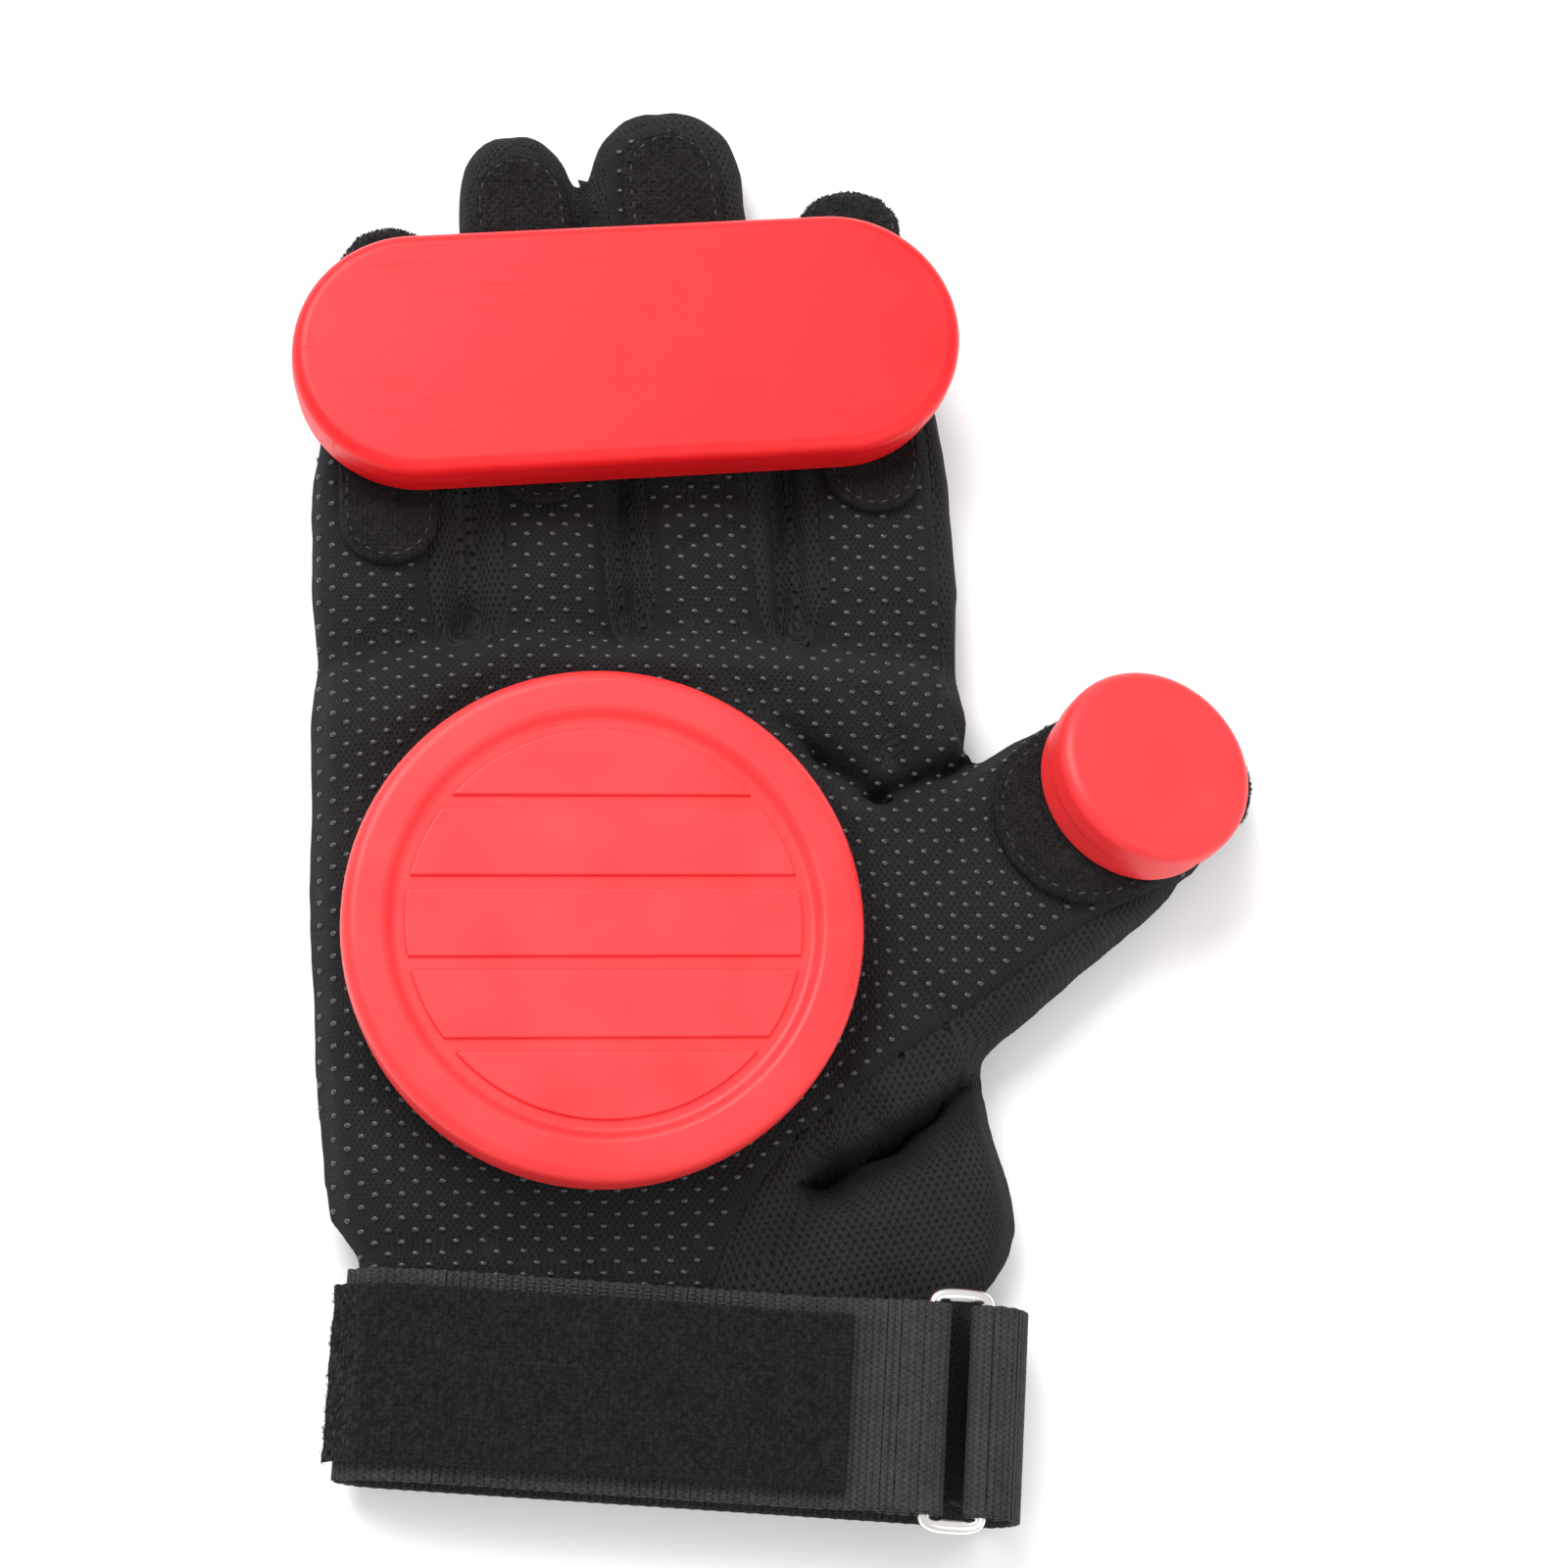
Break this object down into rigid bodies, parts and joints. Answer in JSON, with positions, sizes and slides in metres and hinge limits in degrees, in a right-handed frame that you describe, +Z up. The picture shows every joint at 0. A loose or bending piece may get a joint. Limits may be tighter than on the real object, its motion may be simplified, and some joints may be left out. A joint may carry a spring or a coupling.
{
  "type": "longboard slide glove",
  "caption": "Right full-finger slide glove lying palm up, with plastic slide pucks on hook-and-loop patches and a wrist strap drawn through a wire ring.",
  "frame": {"origin": "on the surface that the glove lies on, under the middle of the palm puck", "axes": "+Z up out of the palm, +Y to the fingertips, +X to the thumb"},
  "size_m": [0.1736, 0.2647, 0.0348],
  "materials": {
    "grip_cloth": "charcoal knit with small glossy grip dots",
    "mesh_cloth": "black warp-knit mesh with small holes",
    "loop_pile": "black brushed loop pile",
    "webbing": "black ribbed webbing",
    "red_plastic": "satin bright red moulded plastic, faintly scuffed",
    "ring_wire": "nickel-plated wire"
  },
  "bodies": {
    "root": {"palm_panel": "grip_cloth", "back_panel": "mesh_cloth", "thumb_gusset": "mesh_cloth", "fork_little_ring": "mesh_cloth", "fork_ring_middle": "mesh_cloth", "fork_middle_index": "mesh_cloth", "palm_pile": "loop_pile", "little_pile": "loop_pile", "ring_pile": "loop_pile", "middle_pile": "loop_pile", "index_pile": "loop_pile", "thumb_pile": "loop_pile", "palm_puck": "red_plastic", "finger_puck": "red_plastic", "thumb_puck": "red_plastic", "wrist_tape": "webbing", "closing_strap": "webbing", "wrist_pile": "loop_pile", "strap_ring": "ring_wire"}
  },
  "joints": []
}
